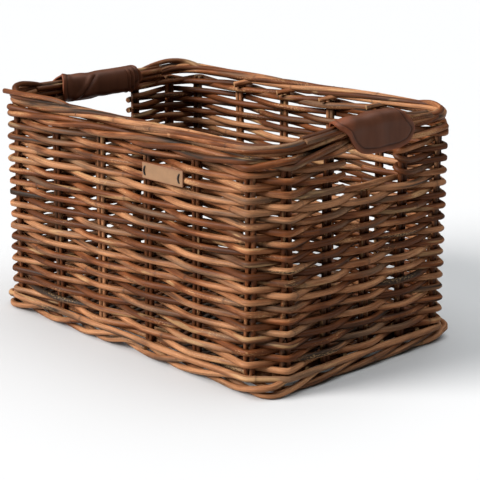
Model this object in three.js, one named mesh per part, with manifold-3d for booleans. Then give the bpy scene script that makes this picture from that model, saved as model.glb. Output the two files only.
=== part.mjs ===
// A rectangular rattan bicycle basket: paired uprights, two weavers that chase each other round the walls,
// a twisted border and foot, a woven base, a hand hole in each end with a leather wrap over the rim,
// and a small leather label tied to the front wall.
// Millimetres, +Z up. X runs along the basket, the front wall faces -Y, and the foot stands on z = 0.
import * as THREE from "three";
import { mergeVertices } from "three/addons/utils/BufferGeometryUtils.js";
import Module from "manifold-3d";

const wasm = await Module();
wasm.setup();

// Overall sizes: over the outside of the weave, and to the top of the rim on the long walls
const LENGTH = 450;
const WIDTH = 300;
const HEIGHT = 260;

// Rod diameters
const WEAVER_D = 6.1;
const STAKE_D = 5;
const BORDER_D = 6.2;
const FOOT_D = 6.4;
const BASE_STICK_D = 8;
const BASE_WEAVER_D = 5;
const TIE_D = 1.8;

// Uprights and weave
const LONG_WALL_BAYS = 5; // bays between the pairs of uprights of a long wall
const CORNER_RUN = 25; // from a wall's end pair to the sharp corner of the stake line
const PAIR_GAP = 5; // between the two uprights of a pair
const ROUNDS_PER_ROD = 3; // times that one weaver goes round the basket
const STEP_UP_PAIR = 3; // the pair, counted along the back wall, where each round starts
const BASE_PITCH = 17; // between the passes of the base weaver

// Border and foot
const BORDER_RODS = 5;
const BORDER_TURNS = 4; // turns of the twist in one round
const FOOT_RODS = 3;
const FOOT_TURNS = 6;
const LOOP_CORNER_R = 30;

// Hand holes and their leather wraps
const HOLE_WIDTH = 86;
const HOLE_HEIGHT = 38; // from the weave below to the rods of a level rim
const RIM_RISE = 6; // the rim bows up this far over the right hand hole, and is level over the left one
const STUB = 3; // the cut uprights stand this far above the weave under a hand hole
const LEATHER = 2.2;
const WRAP_LENGTH = 112;
const WRAP_WAIST = 76; // width where the wrap passes through the hand hole
const FLAP_DROP = 12.5; // from the rods that the wrap holds to the lower edge of its outer flap
const FLAP_CORNER_R = 16;
const WRAP_FOLD_R = 6; // inside the folds along the rim

// Label on the front wall
const LABEL_LENGTH = 62;
const LABEL_HEIGHT = 17;
const LABEL_THICKNESS = 1.6;
const LABEL_CORNER_R = 1.2;
const LABEL_PAIR = "front_4"; // the label covers the bay after this pair
const LABEL_TO_PAIR = 13; // from its right tie to the middle of the next pair
const LABEL_DROP = 47; // from the top of the rim to the middle of the label
const TIE_FROM_END = 5;
const TIE_HOLE_PLAY = 0.6;

// Fits
const FIT = 0.35; // between pieces that touch
const END_GAP = 1.8; // between the ends of rods that butt
const FOOT_FLAT = 0.8; // depth of the flats that the foot stands on

// Facets
const WEAVER_SIDES = 4;
const STAKE_SIDES = 5;
const BORDER_SIDES = 5;
const STICK_SIDES = 8;
const TIE_SIDES = 6;
const BEND_STEPS = 4; // in the bend of an upright, or of a weaver that turns back
const LONG_WALL_STEPS = 15; // of a border or foot rod
const CORNER_STEPS = 3;
const HOLE_STEPS = 5;
const SHOULDER_STEPS = 2;
const ARC_SEGMENTS = 4;

// Clearances and reaches worked out from the sizes above
const weaverR = WEAVER_D / 2;
const stakeR = STAKE_D / 2;
const pairHalf = (STAKE_D + PAIR_GAP) / 2; // from the middle of a pair to the axis of either upright
const pairReach = pairHalf + stakeR;
const wrapRound = stakeR + weaverR + FIT; // from an upright's axis to a weaver that passes it
const turnReach = pairHalf + wrapRound / Math.cos(Math.PI / (2 * BEND_STEPS)) + weaverR;
const holePairY = HOLE_WIDTH / 2 + turnReach;

// On a wall a weaver runs straight from one pair to the next, and clears both uprights of each on the way
let swing = wrapRound;
for (let pass = 0; pass < 6; pass++) {
  const slope = (2 * swing) / holePairY;
  swing = wrapRound * Math.hypot(1, slope) + slope * pairHalf;
}
const weaveReach = swing + weaverR; // from the stake line to either face of the weave
const halfX = LENGTH / 2 - weaveReach;
const halfY = WIDTH / 2 - weaveReach;

function evenly(from, to, steps) {
  return Array.from({ length: steps + 1 }, (_, i) => from + ((to - from) * i) / steps);
}

const sideOf = (number) => (number % 2 === 0 ? 1 : -1);

// The four walls, anticlockwise from above
const longWallPlaces = evenly(CORNER_RUN - halfX, halfX - CORNER_RUN, LONG_WALL_BAYS);
const endWallPlaces = [CORNER_RUN - halfY, -holePairY, 0, holePairY, halfY - CORNER_RUN];
const walls = [
  { name: "back", along: [-1, 0], out: [0, 1], half: halfX, far: halfY, places: longWallPlaces },
  { name: "left", along: [0, -1], out: [-1, 0], half: halfY, far: halfX, places: endWallPlaces },
  { name: "front", along: [1, 0], out: [0, -1], half: halfX, far: halfY, places: longWallPlaces },
  { name: "right", along: [0, 1], out: [1, 0], half: halfY, far: halfX, places: endWallPlaces },
].map((wall) => ({ ...wall, along: new THREE.Vector2(...wall.along), out: new THREE.Vector2(...wall.out) }));

const turned = (direction, angle) => direction.clone().rotateAround(new THREE.Vector2(), angle);

// The rim is level but for the right end wall, where it rises from both corners to the hand hole
function riseAt(x, y) {
  const shoulder = halfY - CORNER_RUN - holePairY;
  const share = THREE.MathUtils.clamp((halfY - CORNER_RUN - Math.abs(y)) / shoulder, 0, 1);
  return x > 0 ? RIM_RISE * share : 0;
}

// Stations round the rim or the foot, with the length of the loop up to each
function loopStations() {
  const straightY = halfY - LOOP_CORNER_R;
  const longSteps = evenly(LOOP_CORNER_R - halfX, halfX - LOOP_CORNER_R, LONG_WALL_STEPS);
  const endSteps = [
    ...evenly(-straightY, -holePairY, SHOULDER_STEPS),
    ...evenly(-holePairY, holePairY, HOLE_STEPS).slice(1),
    ...evenly(holePairY, straightY, SHOULDER_STEPS).slice(1),
  ];
  const stations = [];
  for (const { along, out, half, far, places } of walls) {
    const steps = places === longWallPlaces ? longSteps : endSteps;
    for (const step of steps) {
      stations.push({ place: along.clone().multiplyScalar(step).addScaledVector(out, far), outward: out });
    }
    const centre = along.clone().multiplyScalar(half - LOOP_CORNER_R);
    centre.addScaledVector(out, far - LOOP_CORNER_R);
    for (const angle of evenly(0, Math.PI / 2, CORNER_STEPS).slice(1, -1)) {
      const outward = turned(out, angle);
      stations.push({ place: centre.clone().addScaledVector(outward, LOOP_CORNER_R), outward });
    }
  }
  stations.push(stations[0]);
  let length = 0;
  return stations.map((station, i) => {
    if (i > 0) length += station.place.distanceTo(stations[i - 1].place);
    return { ...station, length };
  });
}

const loop = loopStations();
const loopLength = loop[loop.length - 1].length;
const longestStep = Math.max(...loop.slice(1).map((station, i) => station.length - loop[i].length));

// Radius at which twisted rods lie side by side, also halfway along a step
function ropeRadius(diameter, rods, turns) {
  const halfTwist = (Math.PI * turns * longestStep) / loopLength;
  return (diameter + FIT) / (2 * Math.sin(Math.PI / rods) * Math.cos(halfTwist));
}

// Levels, from the foot up and from the rim down
const footRopeR = ropeRadius(FOOT_D, FOOT_RODS, FOOT_TURNS);
const borderRopeR = ropeRadius(BORDER_D, BORDER_RODS, BORDER_TURNS);
const footReach = footRopeR + FOOT_D / 2;
const borderReach = borderRopeR + BORDER_D / 2;
const footAxisZ = footReach - FOOT_FLAT;
const footTop = footAxisZ + footReach;
const stickZ = footTop + FIT + BASE_STICK_D / 2;
const firstRowZ = stickZ + BASE_STICK_D / 2 + FIT + weaverR;
const borderAxisZ = HEIGHT - borderReach;
const stakeTop = borderAxisZ - borderReach - FIT;
const topWaleZ = stakeTop - weaverR;
const lastRowZ = topWaleZ - WEAVER_D - FIT;

// Rows of weaving: whole ones below the hand holes, and interrupted ones beside them
const rows = 1 + Math.floor((lastRowZ - firstRowZ) / (WEAVER_D + FIT));
const rowPitch = (lastRowZ - firstRowZ) / (rows - 1);
const upperRows = Math.round(HOLE_HEIGHT / rowPitch);
const lowerRows = rows - upperRows;
const rowZ = (row) => firstRowZ + row * rowPitch;
const holeBottom = rowZ(lowerRows - 1) + weaverR;

const rattan = new THREE.MeshStandardMaterial({ color: 0x7a4a2a, roughness: 0.6, metalness: 0 });
const paleRattan = new THREE.MeshStandardMaterial({ color: 0x8f5f38, roughness: 0.6, metalness: 0 });
const darkRattan = new THREE.MeshStandardMaterial({ color: 0x54341f, roughness: 0.65, metalness: 0 });
const wrapLeather = new THREE.MeshStandardMaterial({ color: 0x4a2b22, roughness: 0.5, metalness: 0 });
const labelLeather = new THREE.MeshStandardMaterial({ color: 0xc19a6b, roughness: 0.7, metalness: 0 });
const tieCord = new THREE.MeshStandardMaterial({ color: 0x2c1a10, roughness: 0.8, metalness: 0 });

const basket = new THREE.Group();

function addPiece(name, geometry, material) {
  const mesh = new THREE.Mesh(geometry, material);
  mesh.name = name;
  basket.add(mesh);
  return mesh;
}

// A line whose equal steps fall on the given points, so that a rod bends exactly there
class RodLine extends THREE.Curve {
  constructor(points) {
    super();
    this.points = points;
  }

  getPoint(t, target = new THREE.Vector3()) {
    const along = THREE.MathUtils.clamp(t, 0, 1) * (this.points.length - 1);
    const index = Math.min(Math.floor(along), this.points.length - 2);
    return target.lerpVectors(this.points[index], this.points[index + 1], along - index);
  }

  getUtoTmapping(u) {
    return u;
  }
}

function rod(points, diameter, sides) {
  const section = new THREE.Shape();
  section.setFromPoints(
    evenly(0, 2 * Math.PI, sides)
      .slice(0, sides)
      .map((angle) => turned(new THREE.Vector2(diameter / 2, 0), angle)),
  );
  return new THREE.ExtrudeGeometry(section, { steps: points.length - 1, extrudePath: new RodLine(points) });
}

// The same line with its last point drawn back, so that its rod ends short of the next one
function shortened(points) {
  const last = points.length - 1;
  const back = points[last - 1].clone().sub(points[last]).setLength(END_GAP);
  return [...points.slice(0, last), points[last].clone().add(back)];
}

function solidOf(geometry) {
  const bare = geometry.clone();
  bare.deleteAttribute("normal");
  bare.deleteAttribute("uv");
  const merged = mergeVertices(bare, 1e-4);
  return new wasm.Manifold(
    new wasm.Mesh({
      numProp: 3,
      vertProperties: new Float32Array(merged.attributes.position.array),
      triVerts: new Uint32Array(merged.index.array),
    }),
  );
}

function geometryOf(solid) {
  const { vertProperties, triVerts } = solid.getMesh();
  const geometry = new THREE.BufferGeometry();
  geometry.setAttribute("position", new THREE.BufferAttribute(vertProperties, 3));
  geometry.setIndex(new THREE.BufferAttribute(triVerts, 1));
  return geometry;
}

// The pairs of uprights in order round the basket, from the pair where each round of weaving starts
function stakePairs() {
  const pairs = walls.flatMap(({ name, along, out, far, places }) =>
    places.map((place, i) => {
      const isCorner = i === 0 || i === places.length - 1;
      const outward = turned(out, isCorner ? ((i === 0 ? -1 : 1) * Math.PI) / 8 : 0);
      return {
        name: `${name}_${i + 1}`,
        place: along.clone().multiplyScalar(place).addScaledVector(out, far),
        outward,
        along: turned(outward, Math.PI / 2),
        isCorner,
        isCut: places === endWallPlaces && place === 0,
      };
    }),
  );
  return [...pairs.slice(STEP_UP_PAIR), ...pairs.slice(0, STEP_UP_PAIR)];
}

const pairs = stakePairs();

// A point beside a pair, so far outward of the stake line and so far along it
function beside(pair, outward, along, z) {
  const at = pair.place.clone().addScaledVector(pair.outward, outward).addScaledVector(pair.along, along);
  return new THREE.Vector3(at.x, at.y, z);
}

// Where a rod passes a pair, outside (+1) or inside (-1). At a corner it lies along both uprights.
function passing(pair, side, reach, z) {
  if (!pair.isCorner) return [beside(pair, side * reach, 0, z)];
  return [-pairReach, pairReach].map((along) => beside(pair, side * wrapRound, along, z));
}

// Each pair of uprights is one rod bent double, with its bend on the foot
function addStakePairs() {
  const bendZ = footTop + FIT + pairReach;
  for (const pair of pairs) {
    const lowerSide = Math.abs(pair.place.y) + pairReach; // of the border that slopes above the pair
    const top = pair.isCut ? holeBottom + STUB : stakeTop + riseAt(pair.place.x, lowerSide);
    const bend = evenly(0, Math.PI, BEND_STEPS).map((angle) =>
      beside(pair, 0, -pairHalf * Math.cos(angle), bendZ - pairHalf * Math.sin(angle)),
    );
    const line = [beside(pair, 0, -pairHalf, top), ...bend, beside(pair, 0, pairHalf, top)];
    addPiece(`stake_pair_${pair.name}`, rod(line, STAKE_D, STAKE_SIDES), darkRattan);
  }
}

// Below the hand holes two weavers chase each other: while one passes outside a pair, the other is inside it.
// Each rod goes round several times, and steps up two rows in the last bay of each round.
function addWeavers() {
  for (const chaser of [0, 1]) {
    const rounds = Math.ceil((lowerRows - chaser) / 2);
    const rods = Math.ceil(rounds / ROUNDS_PER_ROD);
    let first = 0;
    for (let i = 0; i < rods; i++) {
      const count = Math.ceil((rounds - first) / (rods - i));
      const isTop = i === rods - 1;
      const lastStep = count * pairs.length - (isTop ? 1 : 0);
      const line = [];
      for (let step = 0; step <= lastStep; step++) {
        const row = 2 * (first + Math.floor(step / pairs.length)) + chaser;
        line.push(...passing(pairs[step % pairs.length], sideOf(step + chaser), swing, rowZ(row)));
      }
      const name = `weaver_${2 * i + chaser + 1}`;
      addPiece(name, rod(isTop ? line : shortened(line), WEAVER_D, WEAVER_SIDES), rattan);
      first += count;
    }
  }
}

// Beside the hand holes one rod weaves each long side to and fro, and turns back round the pairs at the holes
function addUpperWeavers() {
  const bendR = wrapRound / Math.cos(Math.PI / (2 * BEND_STEPS));
  const before = (i) => pairs[(i + pairs.length - 1) % pairs.length];
  for (const start of pairs.keys()) {
    if (!before(start).isCut) continue;
    const forth = [];
    for (let i = start; !pairs[i % pairs.length].isCut; i++) forth.push(i % pairs.length);
    const line = [];
    for (let row = lowerRows; row < rows; row++) {
      const onward = (row - lowerRows) % 2 === 0 ? 1 : -1;
      const way = onward === 1 ? forth : [...forth].reverse();
      for (const i of way) {
        const points = passing(pairs[i], sideOf(i + row), swing, rowZ(row));
        line.push(...(onward === 1 ? points : points.reverse()));
      }
      if (row === rows - 1) continue;
      const last = way[way.length - 1];
      for (const part of evenly(0, 1, BEND_STEPS)) {
        const out = sideOf(last + row) * bendR * Math.cos(Math.PI * part);
        const past = onward * (pairHalf + bendR * Math.sin(Math.PI * part));
        line.push(beside(pairs[last], out, past, rowZ(row) + part * rowPitch));
      }
    }
    const wall = pairs[start].place.y < 0 ? "front" : "back";
    addPiece(`upper_weaver_${wall}`, rod(line, WEAVER_D, WEAVER_SIDES), paleRattan);
  }
}

// Plain rods that clasp the uprights: one each side below the border,
// and one outside the ends of the base sticks
function addWales() {
  const wale = (side, levelOf) =>
    [...pairs, pairs[0]].flatMap((pair) => passing(pair, side, wrapRound, levelOf(pair)));
  const rimLevel = (pair) => topWaleZ + riseAt(pair.place.x, pair.place.y);
  addPiece("rim_wale_outer", rod(shortened(wale(1, rimLevel)), WEAVER_D, WEAVER_SIDES), paleRattan);
  addPiece("rim_wale_inner", rod(shortened(wale(-1, rimLevel)), WEAVER_D, WEAVER_SIDES), paleRattan);
  addPiece("base_wale", rod(shortened(wale(1, () => stickZ)), WEAVER_D, WEAVER_SIDES), paleRattan);
}

// One rod of a twisted loop: going round anticlockwise it rises outside and rolls over the top to the inside
function twistedLine(index, rods, turns, ropeR, levelOf) {
  const line = loop.map(({ place, outward, length }) => {
    const roll = 2 * Math.PI * (index / rods + (turns * length) / loopLength);
    const at = place.clone().addScaledVector(outward, ropeR * Math.cos(roll));
    return new THREE.Vector3(at.x, at.y, levelOf(place) + ropeR * Math.sin(roll));
  });
  return shortened(line);
}

function addBorder() {
  for (let i = 0; i < BORDER_RODS; i++) {
    const levelOf = (place) => borderAxisZ + riseAt(place.x, place.y);
    const line = twistedLine(i, BORDER_RODS, BORDER_TURNS, borderRopeR, levelOf);
    addPiece(`border_rod_${i + 1}`, rod(line, BORDER_D, BORDER_SIDES), rattan);
  }
}

// The foot rods are trimmed flat where they stand
function addFoot() {
  const floor = new THREE.BoxGeometry(2 * LENGTH, 2 * WIDTH, HEIGHT).translate(0, 0, -HEIGHT / 2);
  for (let i = 0; i < FOOT_RODS; i++) {
    const line = twistedLine(i, FOOT_RODS, FOOT_TURNS, footRopeR, () => footAxisZ);
    const trimmed = solidOf(rod(line, FOOT_D, BORDER_SIDES)).subtract(solidOf(floor));
    addPiece(`foot_rod_${i + 1}`, geometryOf(trimmed), darkRattan);
  }
}

// The base: sticks along the basket between the pairs of the end walls, and one rod woven over and under them
function addBase() {
  const stickEnd = halfX + wrapRound - weaverR - FIT;
  const stickYs = endWallPlaces.slice(1).map((place, i) => (place + endWallPlaces[i]) / 2);
  stickYs.forEach((y, i) => {
    const line = [new THREE.Vector3(-stickEnd, y, stickZ), new THREE.Vector3(stickEnd, y, stickZ)];
    addPiece(`base_stick_${i + 1}`, rod(line, BASE_STICK_D, STICK_SIDES), darkRattan);
  });
  const turnX = halfX - footReach - BASE_WEAVER_D;
  const turnY = halfY - footReach - BASE_WEAVER_D;
  const lift = (BASE_STICK_D + BASE_WEAVER_D) / 2 + FIT;
  const passes = evenly(-turnX, turnX, Math.floor((2 * turnX) / BASE_PITCH));
  const line = passes.flatMap((x, i) => {
    const points = [
      new THREE.Vector3(x, -turnY, stickZ),
      ...stickYs.map((y, k) => new THREE.Vector3(x, y, stickZ + sideOf(i + k) * lift)),
      new THREE.Vector3(x, turnY, stickZ),
    ];
    return i % 2 === 0 ? points : points.reverse();
  });
  addPiece("base_weaver", rod(line, BASE_WEAVER_D, WEAVER_SIDES), rattan);
}

// A leather wrap: one sheet that goes under the rim's rods, up inside them, over the top and down outside
// as a flap. Its sides are cut in, so that it passes through the hand hole.
function addWraps() {
  const half = Math.max(borderReach, wrapRound + weaverR) + FIT;
  const top = HEIGHT + RIM_RISE + FIT;
  const under = topWaleZ + RIM_RISE - weaverR - FIT;
  const flap = under - FLAP_DROP;
  const outer = WRAP_FOLD_R + LEATHER;
  const sheet = new THREE.Shape();
  sheet.moveTo(half + LEATHER, flap);
  sheet.absarc(half - WRAP_FOLD_R, top - WRAP_FOLD_R, outer, 0, Math.PI / 2, false);
  sheet.absarc(WRAP_FOLD_R - half, top - WRAP_FOLD_R, outer, Math.PI / 2, Math.PI, false);
  sheet.lineTo(-half - LEATHER, under - LEATHER);
  sheet.lineTo(half - FIT, under - LEATHER);
  sheet.lineTo(half - FIT, under);
  sheet.lineTo(-half, under);
  sheet.absarc(WRAP_FOLD_R - half, top - WRAP_FOLD_R, WRAP_FOLD_R, Math.PI, Math.PI / 2, true);
  sheet.absarc(half - WRAP_FOLD_R, top - WRAP_FOLD_R, WRAP_FOLD_R, Math.PI / 2, 0, true);
  sheet.lineTo(half, flap);

  const waist = WRAP_WAIST / 2;
  const shoulderZ = under + FLAP_DROP;
  const cut = new THREE.Shape();
  cut.moveTo(-WRAP_LENGTH / 2, top + outer);
  cut.lineTo(-WRAP_LENGTH / 2, shoulderZ);
  cut.quadraticCurveTo(-waist, shoulderZ, -waist, under);
  cut.quadraticCurveTo(-waist, flap, FLAP_CORNER_R - waist, flap);
  cut.lineTo(waist - FLAP_CORNER_R, flap);
  cut.quadraticCurveTo(waist, flap, waist, under);
  cut.quadraticCurveTo(waist, shoulderZ, WRAP_LENGTH / 2, shoulderZ);
  cut.lineTo(WRAP_LENGTH / 2, top + outer);

  const sweep = { depth: 2 * WRAP_LENGTH, bevelEnabled: false, curveSegments: ARC_SEGMENTS };
  const folded = new THREE.ExtrudeGeometry(sheet, sweep).translate(0, 0, -WRAP_LENGTH).rotateX(Math.PI / 2);
  const outline = new THREE.ExtrudeGeometry(cut, sweep).translate(0, 0, -WRAP_LENGTH);
  outline.rotateX(Math.PI / 2).rotateZ(Math.PI / 2);
  const wrap = geometryOf(solidOf(folded).intersect(solidOf(outline)));
  const ends = [
    { name: "right", x: halfX, turn: 0 },
    { name: "left", x: -halfX, turn: Math.PI },
  ];
  for (const { name, x, turn } of ends) {
    const mesh = addPiece(`handle_wrap_${name}`, wrap, wrapLeather);
    mesh.position.set(x, 0, riseAt(x, 0) - RIM_RISE);
    mesh.rotation.z = turn;
  }
}

// The label stands on the weave. Each of its two ties is a cord whose ends go back between two outer rows.
function addLabel() {
  const tieSpan = rowPitch - weaverR - FIT - TIE_D / 2; // from the middle of a tie to either leg
  const first = pairs.findIndex((pair) => pair.name === LABEL_PAIR);
  const bay = pairs[first].place.distanceTo(pairs[first + 1].place);
  let row = Math.round((HEIGHT - LABEL_DROP - firstRowZ) / rowPitch - 0.5);
  if (sideOf(first + row) === 1) row -= 1;
  const middleZ = (rowZ(row) + rowZ(row + 1)) / 2;
  const back = weaveReach + FIT;
  const front = back + LABEL_THICKNESS;
  const tieRun = LABEL_LENGTH - 2 * TIE_FROM_END;
  const rightTie = bay - LABEL_TO_PAIR;
  const leftTie = rightTie - tieRun;
  const middleX = pairs[first].place.x + (leftTie + rightTie) / 2;

  const plate = new THREE.Shape();
  const [w, h, r] = [LABEL_LENGTH / 2, LABEL_HEIGHT / 2, LABEL_CORNER_R];
  plate.absarc(w - r, h - r, r, 0, Math.PI / 2);
  plate.absarc(r - w, h - r, r, Math.PI / 2, Math.PI);
  plate.absarc(r - w, r - h, r, Math.PI, 1.5 * Math.PI);
  plate.absarc(w - r, r - h, r, 1.5 * Math.PI, 2 * Math.PI);

  const ties = [
    { name: "left", along: leftTie, tieRow: row },
    { name: "right", along: rightTie, tieRow: row + 1 },
  ];
  for (const { name, along, tieRow } of ties) {
    const z = rowZ(tieRow);
    const x = pairs[first].place.x + along;
    const inset = sideOf(first + tieRow) * swing * (1 - (2 * along) / bay); // of the row behind the tie
    const end = Math.max(0, inset + weaverR + FIT);
    const tie = [
      [end, tieSpan],
      [front + FIT, tieSpan],
      [front + FIT + TIE_D / 2, tieSpan - TIE_D / 2],
      [front + FIT + TIE_D / 2, TIE_D / 2 - tieSpan],
      [front + FIT, -tieSpan],
      [end, -tieSpan],
    ].map(([outward, up]) => new THREE.Vector3(x, -halfY - outward, z + up));
    addPiece(`label_tie_${name}`, rod(tie, TIE_D, TIE_SIDES), tieCord);
    for (const up of [tieSpan, -tieSpan]) {
      const hole = new THREE.Path();
      hole.absarc(x - middleX, z + up - middleZ, (TIE_D + TIE_HOLE_PLAY) / 2, 0, 2 * Math.PI, true);
      plate.holes.push(hole);
    }
  }
  const sheet = new THREE.ExtrudeGeometry(plate, {
    depth: LABEL_THICKNESS,
    bevelEnabled: false,
    curveSegments: ARC_SEGMENTS,
  });
  const label = addPiece("label", sheet, labelLeather);
  label.rotation.x = Math.PI / 2;
  label.position.set(middleX, -halfY - back, middleZ);
}

addStakePairs();
addWeavers();
addUpperWeavers();
addWales();
addBorder();
addFoot();
addBase();
addWraps();
addLabel();

// The origin lies under the middle of the part's box, which the label and its ties make deeper at the front
basket.position.y = -new THREE.Box3().setFromObject(basket, true).getCenter(new THREE.Vector3()).y;

export default basket;
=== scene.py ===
"""Dresses a woven rattan bicycle basket: round rods, leather wraps, a tied label and a plain stage."""

import math
import random

import bmesh
import bpy
import numpy as np
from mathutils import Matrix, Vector, noise


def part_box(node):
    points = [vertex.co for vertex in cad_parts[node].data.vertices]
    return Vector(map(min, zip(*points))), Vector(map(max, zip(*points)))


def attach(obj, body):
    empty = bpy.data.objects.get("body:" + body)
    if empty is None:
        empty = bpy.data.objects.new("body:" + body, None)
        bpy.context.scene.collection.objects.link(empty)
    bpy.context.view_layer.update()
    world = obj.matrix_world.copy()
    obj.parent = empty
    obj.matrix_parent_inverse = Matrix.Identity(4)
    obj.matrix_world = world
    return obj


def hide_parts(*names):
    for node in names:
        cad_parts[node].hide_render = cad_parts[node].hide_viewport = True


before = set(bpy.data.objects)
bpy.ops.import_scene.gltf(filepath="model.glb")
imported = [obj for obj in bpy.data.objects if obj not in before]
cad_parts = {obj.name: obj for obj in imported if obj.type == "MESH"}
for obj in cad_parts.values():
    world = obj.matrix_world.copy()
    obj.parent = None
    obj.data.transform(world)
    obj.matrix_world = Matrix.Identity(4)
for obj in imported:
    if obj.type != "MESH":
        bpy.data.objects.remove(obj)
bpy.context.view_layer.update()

bl_info = {
    "name": "Rattan Bicycle Basket",
    "version": (1, 0, 0),
    "blender": (4, 5, 0),
    "location": "3D Viewport > Sidebar > Basket",
    "description": "Builds the rods, the leather and the stage of a woven rattan bicycle basket",
    "category": "Add Mesh",
}

MM = 0.001
UP = np.array((0.0, 0.0, 1.0))

# The weave, as the frame has it: walls anticlockwise from above, with the pairs of uprights on each
WALLS = (("back", 6, (0, 1)), ("left", 5, (-1, 0)), ("front", 6, (0, -1)), ("right", 5, (1, 0)))
END_WALL_PAIRS = 5
FIRST_PAIR = 3  # the rows count their pairs from this place in the list of walls
CUT_NUMBER = 3  # the pair of an end wall that is cut short under its hand hole
CORNER_TURN = math.radians(22.5)
LOWER_ROWS = 27
SILL_ROW = LOWER_ROWS - 1  # it passes over the cut pairs under the hand holes
UPPER_ROWS = 5
WEAVER_RODS = 10
# Halfway up the first weaver, which climbs rows 0 to 6, and up the frame's upper weavers, rows 27 to 32
FIRST_MIDDLE = 3
UPPER_MIDDLE = LOWER_ROWS + 2.5


def box_middle(node):
    low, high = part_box(node)
    return (low + high) / 2


ROW_PITCH = (box_middle("upper_weaver_front").z - box_middle("weaver_1").z) / (UPPER_MIDDLE - FIRST_MIDDLE)
FIRST_ROW = box_middle("weaver_1").z - FIRST_MIDDLE * ROW_PITCH


def row_level(row):
    return FIRST_ROW + row * ROW_PITCH


def turned(direction, angle):
    x, y = direction
    return np.array((x * math.cos(angle) - y * math.sin(angle), x * math.sin(angle) + y * math.cos(angle)))


class StakePair:
    """Where a pair of uprights stands, read from the frame."""

    def __init__(self, wall, number, last, outward):
        self.wall = wall
        self.node = f"stake_pair_{wall}_{number}"
        low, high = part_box(self.node)
        self.place = np.array((low + high)[:2]) / 2
        self.foot, self.top = low.z, high.z
        self.is_corner = number in (1, last)
        self.is_cut = last == END_WALL_PAIRS and number == CUT_NUMBER
        self.is_plain = last != END_WALL_PAIRS and not self.is_corner
        self.outward = turned(outward, {1: -CORNER_TURN, last: CORNER_TURN}.get(number, 0.0))
        self.along = turned(self.outward, math.pi / 2)

    def beside(self, out, along, z):
        """The point so far outward of the pair and so far along the wall, at a level."""
        x, y = self.place + self.outward * out + self.along * along
        return np.array((x, y, z))


FROM_BACK = [StakePair(wall, i + 1, last, outward) for wall, last, outward in WALLS for i in range(last)]
PAIRS = FROM_BACK[FIRST_PAIR:] + FROM_BACK[:FIRST_PAIR]
PAIR_HALF = 3.0 * MM  # from the middle of a pair to the axis of either upright
HALF_X = max(pair.place[0] for pair in PAIRS)
HALF_Y = (max(pair.place[1] for pair in PAIRS) - min(pair.place[1] for pair in PAIRS)) / 2
MIDDLE_Y = max(pair.place[1] for pair in PAIRS) - HALF_Y
CORNER_Y = max(abs(pair.place[1] - MIDDLE_Y) for pair in PAIRS if pair.wall == "right")
RIM_RISE = 8.4 * MM  # of the rim over the middle of the right hand hole
BACK_RISE = 2.4 * MM  # of the border along the back wall
STAKE_TOP = min(pair.top for pair in PAIRS if not pair.is_cut)


def smooth_step(value):
    value = np.clip(value, 0.0, 1.0)
    return value * value * (3 - 2 * value)


def bell(distance, width):
    return np.exp(-((distance / width) ** 2))


def rim_rise(x, y, back=BACK_RISE):
    """The rim bows up over the right hand hole, and may stand a little higher along the back."""
    bow = RIM_RISE * smooth_step(1 - np.abs(y - MIDDLE_Y) / CORNER_Y) if x > HALF_X / 2 else 0.0
    return bow + back * smooth_step((y - MIDDLE_Y) / HALF_Y * 2 - 1)


def number(name, description, default, **more):
    return bpy.props.FloatProperty(name=name, description=description, default=default, **more)


def length(name, description, millimetres):
    return number(name, description, millimetres * MM, unit="LENGTH")


def count(name, description, default):
    return bpy.props.IntProperty(name=name, description=description, default=default)


def colour(name, description, default):
    return bpy.props.FloatVectorProperty(
        name=name, description=description, default=(*default, 1.0), size=4, min=0.0, max=1.0,
        subtype="COLOR")


class BasketSizes(bpy.types.PropertyGroup):
    """Rods, leather and label"""

    weaver: length("Weaver", "Radius of the weaving rods", 3.5)
    upright: length("Upright", "Radius of the uprights", 2.8)
    border: length("Border", "Radius of the rods of the border", 2.95)
    foot: length("Foot", "Radius of the rods of the foot", 3.3)
    base_stick: length("Base stick", "Radius of the sticks of the base", 4)
    base_weaver: length("Base weaver", "Radius of the rod woven over the base sticks", 2.5)
    swing: length("Swing", "How far a weaving rod lies from the line of the uprights", 6.4)
    unevenness: length("Unevenness", "How far the weaver's hand strays", 1.1)
    border_turns: count("Border turns", "Turns of the border's twist in one round", 3)
    foot_turns: count("Foot turns", "Turns of the foot's twist in one round", 8)
    leather: length("Leather", "Thickness of the leather of the wraps", 2.0)
    tie: length("Tie", "Radius of the cord that ties the label", 0.8)
    seed: count("Seed", "Start of the random draws for rods and joints", 7)


class BasketColours(bpy.types.PropertyGroup):
    """Finishes of the rattan, the leather and the cord"""

    honey: colour("Honey", "Light brown rods", (0.305, 0.136, 0.0605))
    russet: colour("Russet", "Reddish brown rods", (0.145, 0.0425, 0.0118))
    walnut: colour("Walnut", "Dark brown rods", (0.078, 0.0225, 0.006))
    ash: colour("Ash", "Weathered, greyer stretches", (0.125, 0.075, 0.043))
    bark: colour("Bark", "Dark stretches of bark", (0.0215, 0.0118, 0.0068))
    straw: colour("Straw", "Peeled patches and cut ends", (0.38, 0.23, 0.105))
    wrap: colour("Wrap", "Leather of the wraps", (0.075, 0.0255, 0.0122))
    wrap_edge: colour("Wrap edge", "Worn edges of the wraps", (0.14, 0.0415, 0.018))
    label: colour("Label", "Leather of the label", (0.2, 0.102, 0.0435))
    cord: colour("Cord", "Ties of the label", (0.018, 0.011, 0.0072))


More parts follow.
